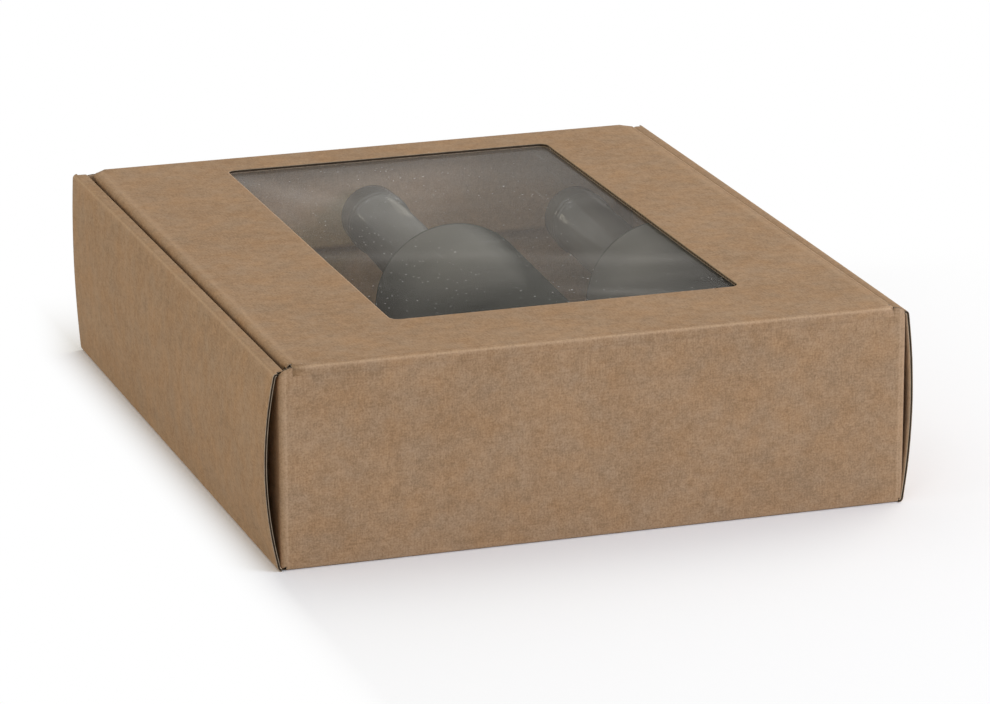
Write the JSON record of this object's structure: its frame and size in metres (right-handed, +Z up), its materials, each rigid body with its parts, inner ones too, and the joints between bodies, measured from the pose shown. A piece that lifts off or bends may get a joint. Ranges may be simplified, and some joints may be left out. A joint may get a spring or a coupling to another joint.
{
  "type": "wine bottle gift box with window",
  "caption": "Folded kraft corrugated gift box for wine bottles lying side by side, with rolled double sides and a hinged lid whose film-covered window shows the bottles.",
  "frame": {"origin": "on the ground under the middle of the box's outline", "axes": "+X along the hinge wall, +Y from the hinge wall to the front wall, +Z up; the hinge wall faces -Y"},
  "size_m": [0.2836, 0.33, 0.087],
  "materials": {
    "kraft_board": "uncoated brown kraft liner, matte, with fine fibre flecks",
    "clear_film": "clear film, slightly hazy, with dust and fine scratches",
    "bottle_glass": "smooth dark olive glass"
  },
  "bodies": {
    "box": {"tray": "kraft_board", "left_bottle": "bottle_glass", "middle_bottle": "bottle_glass", "right_bottle": "bottle_glass"},
    "lid": {"lid": "kraft_board", "window_film": "clear_film"}
  },
  "joints": [
    {"name": "lid_hinge", "type": "hinge", "parent": "box", "child": "lid", "pos_m": [0, -0.16515, 0.08489], "axis": [1, 0, 0], "range_deg": [0, 180]}
  ]
}
